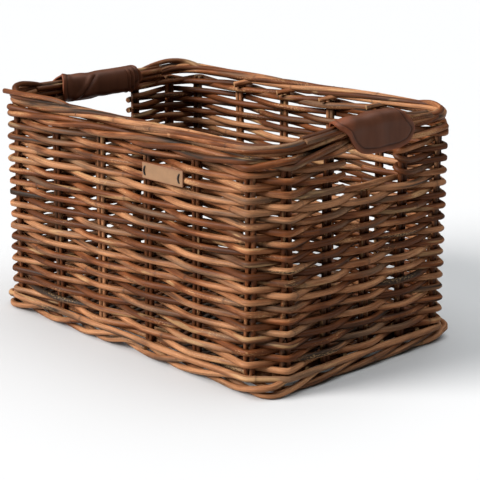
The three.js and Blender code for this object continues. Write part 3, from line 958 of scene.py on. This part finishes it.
class BASKET_OT_base(BasketOperator):
    """Lay the sticks of the base and weave a rod closely over and under them"""

    bl_idname = "basket.base"
    bl_label = "Base"

    SEED = 700
    STICKS = 4
    STICK_STEPS = 40
    WEAVER_SEED = 720
    WEAVER_SIDES = 8
    WEAVER_STEP = 6 * MM
    PASSES = 73
    SPAN_STEPS = 6
    REACH = 2 * MM  # past the base weaver of the frame, to the walls

    def execute(self, context):
        sizes = self.sizes(context)
        # The base's dark rattan is partly its own unpeeled tone and partly painted shade, for the base seen
        # through the gaps of the walls
        material = self.rod_material(context, "base")
        stick_ys = []
        for number in range(1, self.STICKS + 1):
            node = f"base_stick_{number}"
            low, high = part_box(node)
            y, level = (low.y + high.y) / 2, (low.z + high.z) / 2
            stick_ys.append(y)
            bundle = RodBundle(sizes, self.SEED + number)
            line = [(x, y, level) for x in np.linspace(low.x, high.x, self.STICK_STEPS)]
            bundle.grow(np.array(line), sizes.base_stick)
            bundle.finish(f"{node}_rod", material, "rattan_uprights", node)
        low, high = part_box("base_weaver")
        radius = sizes.base_weaver
        lift = sizes.base_stick + radius
        line = []
        for i, x in enumerate(np.linspace(low.x + radius, high.x - radius, self.PASSES)):
            points = [(x, low.y + radius - self.REACH, level)]
            points += [(x, y, level + outside(i, k) * lift) for k, y in enumerate(stick_ys)]
            points.append((x, high.y - radius + self.REACH, level))
            line += points if i % 2 == 0 else points[::-1]
        bundle = RodBundle(sizes, self.WEAVER_SEED)
        bundle.SIDES = self.WEAVER_SIDES
        bundle.RING_STEP = self.WEAVER_STEP
        bundle.grow(smooth_path(line, self.SPAN_STEPS), radius)
        bundle.finish("base_weaver_rod", material, "rattan_weavers", "base_weaver")
        return {"FINISHED"}


class BASKET_OT_wraps(BasketOperator):
    """Fold a leather wrap over the rim at each hand hole, with a flap outside"""

    bl_idname = "basket.wraps"
    bl_label = "Wraps"

    ACROSS = 112
    AROUND = 104
    ROUNDING = 0.5 * MM
    GROOVE_INSET = 5.6 * MM
    GROOVE_WIDTH = 0.9 * MM
    GROOVE_DEPTH = 0.55 * MM
    WEAR = 2.2 * MM  # width of the worn edges
    LUMP = 1.7  # in millimetres
    LUMP_WAVES = (44, 24)  # to the metre, along the rim and round it
    FRAME_RISE = 6 * MM  # of the right wrap in the frame
    CURL = 1.4 * MM  # of the left wrap's far edge

    # Edges of the sheet in millimetres: way up from the flap's lower edge and over, near edge, far edge
    FLAP = ((0, 4, 38), (1, -5, 42), (4, -20, 53), (13, -32, 61), (18, -35.5, 63), (24, -39.5, 60.5),
            (29, -45, 55), (34, -51, 49))
    FLAP_FLARE = 11.7 * MM  # the lowest part of the flap, which stands off
    # How far the lower edges of the flap and of the fold lie above those of the frame's wrap
    LIFT = {"right": (0.0, 11.7 * MM), "left": (4.5 * MM, 10.5 * MM)}
    EDGES = {
        "right": (*FLAP, (40, -53, 45), (46, -51, 43), (61, -45, 43), (82, -40, 40), (110, -38, 38)),
        "left": (*FLAP, (46, -56, 58), (61, -59, 62), (82, -43, 54), (110, -38, 40)),
    }

    def section(self, flap, under, top, half):
        """The wrap's fold round the rods, from the flap's lower edge outside to the overlap below."""
        turn = under + 3.4 * MM
        belly = top - 9 * MM
        shoulder = top - 2.2 * MM
        flare = flap + self.FLAP_FLARE
        points = [(half + 0.6 * MM, flap), (half, flare), (half - 0.3 * MM, (flare + belly) / 2),
                  (half - 0.4 * MM, belly), (0.66 * half, shoulder), (0, top),
                  (-0.66 * half, shoulder), (-half + 0.4 * MM, belly), (-half, (under + belly) / 2),
                  (-half + 1.2 * MM, turn), (-half + 5 * MM, under), (0, under - 0.5 * MM),
                  (half - 3 * MM, under + 0.3 * MM)]
        return smooth_path([(out, z, 0.0) for out, z in points], 16)[:, :2]

    def creases(self, across, around):
        """A slanting fold and three gathers inside the left wrap."""
        inside = smooth_step((around - 44 * MM) / (8 * MM))
        fold = across - 12 * MM - 0.9 * (around - 50 * MM)
        valley = bell(fold, 3 * MM)
        ridge = bell(fold - 7 * MM, 4 * MM)
        gathered = smooth_step((-34 * MM - across) / (6 * MM)) * np.sin(across * 2 * math.pi / (6 * MM))
        return inside * (1.9 * ridge - 2.4 * valley + 1.3 * gathered) * MM

    def insets(self, sheet, edges, length):
        """How far each point of the sheet lies from its sides and its lower edge."""
        ways = np.linspace(0, length, 400)
        sides = read_off(ways, edges[:, 0], edges[:, 1:]).T
        lower = np.stack((np.linspace(sides[0][0], sides[1][0], 30), np.zeros(30)), axis=1)
        outline = np.vstack([np.stack((side, ways), 1) for side in sides] + [lower])
        return np.array([np.sqrt(((outline - point) ** 2).sum(1).min()) for point in sheet])

    def execute(self, context):
        sizes = self.sizes(context)
        material = self.material(context, "Wrap leather", wrap_leather)
        self.wrap(sizes, material, "right", 1, 3.1)
        self.wrap(sizes, material, "left", -1, 8.1)
        return {"FINISHED"}

    def wrap(self, sizes, material, end, way, seed):
        node = f"handle_wrap_{end}"
        low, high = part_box(node)
        middle = (low + high) / 2
        half = (high.x - low.x) / 2 - sizes.leather / 2
        flap, under = (low.z + lift for lift in self.LIFT[end])
        fold = self.section(flap, under, high.z - sizes.leather / 2, half)
        reached = travelled(fold)
        edges = smooth_path(np.array(self.EDGES[end]) * MM, 8)
        slope = np.gradient(fold, axis=0)
        normals = unit(np.stack((slope[:, 1], -slope[:, 0]), axis=1))

        bm = bmesh.new()
        edge_layer, groove_layer = (bm.verts.layers.float.new(name) for name in ("edge", "groove"))
        bmesh.ops.create_grid(bm, x_segments=self.ACROSS, y_segments=self.AROUND, size=1.0)
        flat = np.array([vert.co[:2] for vert in bm.verts])
        around = (flat[:, 1] + 1) / 2 * reached[-1]
        out, z = read_off(around, reached, fold).T
        out_way, z_way = read_off(around, reached, normals).T
        near, far = read_off(around, edges[:, 0], edges[:, 1:]).T
        across = near + (far - near) * (flat[:, 0] + 1) / 2

        sheet = np.stack((across, around), axis=1)
        inset = self.insets(sheet, edges, reached[-1])
        groove = bell(inset - self.GROOVE_INSET, self.GROOVE_WIDTH)
        edge = np.exp(-inset / self.WEAR)
        upper = smooth_step((z - low.z - 8 * MM) / (16 * MM))
        lumps = np.array([noise.noise(Vector((*(self.LUMP_WAVES * place), seed))) for place in sheet])
        lift = lumps * self.LUMP * MM - groove * self.GROOVE_DEPTH
        if end == "left":
            curl = smooth_step((flat[:, 0] - 0.72) / 0.28) * self.CURL
            lift += self.creases(across, around) + upper * curl
        else:
            z = z + upper * (rim_rise(middle.x, middle.y + across) - self.FRAME_RISE)
            edge += 0.5 * smooth_step((-18 * MM - across) / (24 * MM))
        out, z = out + out_way * lift, z + z_way * lift
        points = np.stack((middle.x + way * out, middle.y + way * across, z), axis=1)
        for vert, point, e, g in zip(bm.verts, handmade(points, sizes.unevenness), edge, groove):
            vert.co = point
            vert[edge_layer] = e
            vert[groove_layer] = g
        finish_sheet(bm, Vector(UP), sizes.leather, self.ROUNDING,
                     f"{node}_leather", material, "wrap_leather", node)


class BASKET_OT_label(BasketOperator):
    """Cut a bare leather label and tie it to the front wall with two cords"""

    bl_idname = "basket.label"
    bl_label = "Label"

    GRID = (62, 20)
    CORNER = 1.4 * MM
    ROUNDING = 0.35 * MM
    EDGE = 0.8 * MM  # width of the darkened edges
    BOW = 0.5 * MM
    RIPPLE = 0.2 * MM
    RIPPLE_WAVES = 60  # to the metre
    SAG = 2.5 * MM
    TIE_SEED = 800
    TIE_STEP = 0.8 * MM
    TIE_SPAN = 4.4 * MM
    TIE_TUCK = 2.5 * MM
    TIE_BEND = 1.3 * MM

    def execute(self, context):
        sizes = self.sizes(context)
        low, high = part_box("label")
        middle = (low + high) / 2 - Vector((0, 0, self.SAG))
        half = (high - low) / 2
        bm = bmesh.new()
        edge_layer = bm.verts.layers.float.new("edge")
        bmesh.ops.create_grid(bm, x_segments=self.GRID[0], y_segments=self.GRID[1], size=1.0)
        for vert in bm.verts:
            x, z = vert.co.x * half.x, vert.co.y * half.z
            past = (abs(x) - half.x, abs(z) - half.z)
            over = Vector([max(0.0, distance + self.CORNER) for distance in past])
            if over.length > self.CORNER:
                over = over - over.normalized() * self.CORNER
                x -= math.copysign(over.x, x)
                z -= math.copysign(over.y, z)
            inset = min(half.x - abs(x), half.z - abs(z))
            ripple = noise.noise(Vector((x * self.RIPPLE_WAVES, z * self.RIPPLE_WAVES, 2.0)))
            bow = self.BOW * (vert.co.x ** 2 - 0.4) + self.RIPPLE * ripple
            vert.co = (middle.x + x, middle.y + bow, middle.z + z)
            vert[edge_layer] = math.exp(-inset / self.EDGE)
        leather = self.material(context, "Label leather", label_leather)
        finish_sheet(bm, Vector((0, -1, 0)), high.y - low.y, self.ROUNDING,
                     "label_leather_plate", leather, "label_leather", "label")
        cord = self.material(context, "Tie cord", waxed_cord)
        for number, node in enumerate(("label_tie_left", "label_tie_right")):
            bundle = RodBundle(sizes, self.TIE_SEED + number)
            bundle.RING_STEP = self.TIE_STEP
            bundle.stray = 0.0
            line = self.tie(sizes, box_middle(node).x, low.y, middle.z)
            bundle.grow(smooth_path(line), sizes.tie, across=np.array((1.0, 0.0, 0.0)), tone=0.5)
            bundle.finish(f"{node}_cord", cord, "tie_cord", node)
        return {"FINISHED"}

    def tie(self, sizes, x, face_y, level):
        """Out of the leather, down over its face with a slight bend, and in again."""
        line = []
        for part in np.linspace(-1, 1, 9):
            rise = sizes.tie * (0.9 - 0.7 * part ** 4)
            line.append((x - self.TIE_BEND * (1 - part ** 2), face_y - rise, level - part * self.TIE_SPAN))
        first, last = ((x, face_y + self.TIE_TUCK, level + way * self.TIE_SPAN) for way in (1, -1))
        return [first, *line, last]


class BASKET_OT_stage(BasketOperator):
    """Set a pale floor, soft studio light and the camera"""

    bl_idname = "basket.stage"
    bl_label = "Stage"

    FLOOR_SIZE = 60.0
    FRAME_WIDTH = 36.0
    WHITE = (1.0, 1.0, 1.0)
    # Where each light shines from, towards the origin, and how wide it is
    KEY = ((-1.2, -2.3, 1.5), math.radians(32))
    TOP = ((0.25, 0.45, 2.5), math.radians(75))

    def place(self, scene, name, data):
        thing = bpy.data.objects.new(name, data)
        scene.collection.objects.link(thing)
        return thing

    def soft_light(self, scene, name, strength, tint, place, spread):
        data = bpy.data.lights.new(name, "SUN")
        data.energy = strength
        data.color = tint
        data.angle = spread
        light = self.place(scene, name, data)
        light.location = place
        light.rotation_euler = (-Vector(place)).to_track_quat("-Z", "Y").to_euler()

    def floor(self, scene, settings):
        bm = bmesh.new()
        bmesh.ops.create_grid(bm, x_segments=1, y_segments=1, size=self.FLOOR_SIZE / 2)
        mesh = bpy.data.meshes.new("floor")
        bm.to_mesh(mesh)
        bm.free()
        mesh.materials.append(new_material("Pale floor", pale_floor, settings.floor))
        floor = self.place(scene, "floor", mesh)

    def surroundings(self, scene, settings):
        scene.world = scene.world or bpy.data.worlds.new("World")
        scene.world.use_nodes = True
        sky = next(node for node in scene.world.node_tree.nodes if node.type == "BACKGROUND")
        sky.inputs["Color"].default_value = (*self.WHITE, 1.0)
        sky.inputs["Strength"].default_value = settings.sky
        scene.view_settings.view_transform = "Standard"

    def camera(self, scene, settings):
        cos_e, sin_e = math.cos(settings.elevation), math.sin(settings.elevation)
        back = Vector((math.sin(settings.azimuth) * cos_e, -math.cos(settings.azimuth) * cos_e, sin_e))
        data = bpy.data.cameras.new("camera")
        data.lens = settings.lens
        data.sensor_width = self.FRAME_WIDTH
        camera = self.place(scene, "camera", data)
        camera.location = Vector(settings.aim) + back * settings.distance
        camera.rotation_euler = (-back).to_track_quat("-Z", "Y").to_euler()
        scene.camera = camera

    def execute(self, context):
        scene = context.scene
        settings = scene.basket_stage
        self.floor(scene, settings)
        self.soft_light(scene, "key", settings.key_strength, self.WHITE, *self.KEY)
        self.soft_light(scene, "top", settings.top_strength, settings.top_tint, *self.TOP)
        self.surroundings(scene, settings)
        self.camera(scene, settings)
        return {"FINISHED"}


STEPS = (
    BASKET_OT_stage,
    BASKET_OT_uprights,
    BASKET_OT_weaving,
    BASKET_OT_upper_weaving,
    BASKET_OT_wales,
    BASKET_OT_border,
    BASKET_OT_foot,
    BASKET_OT_base,
    BASKET_OT_wraps,
    BASKET_OT_label,
)


class BASKET_PT_build(bpy.types.Panel):
    """The sizes, the colours and the steps that build the basket"""

    bl_idname = "BASKET_PT_build"
    bl_label = "Rattan Basket"
    bl_space_type = "VIEW_3D"
    bl_region_type = "UI"
    bl_category = "Basket"

    def draw(self, context):
        for step in STEPS:
            self.layout.operator(step.bl_idname)
        for group in (context.scene.basket_sizes, context.scene.basket_colours, context.scene.basket_stage):
            column = self.layout.box().column()
            for name in group.__annotations__:
                column.prop(group, name)


GROUPS = {"basket_sizes": BasketSizes, "basket_colours": BasketColours, "basket_stage": BasketStage}
CLASSES = (*GROUPS.values(), *STEPS, BASKET_PT_build)


def register():
    for cls in CLASSES:
        bpy.utils.register_class(cls)
    for name, group in GROUPS.items():
        setattr(bpy.types.Scene, name, bpy.props.PointerProperty(type=group))


def unregister():
    for name in GROUPS:
        delattr(bpy.types.Scene, name)
    for cls in reversed(CLASSES):
        bpy.utils.unregister_class(cls)


def main():
    register()
    for step in STEPS:
        group, name = step.bl_idname.split(".")
        getattr(getattr(bpy.ops, group), name)()


if __name__ == "__main__":
    main()
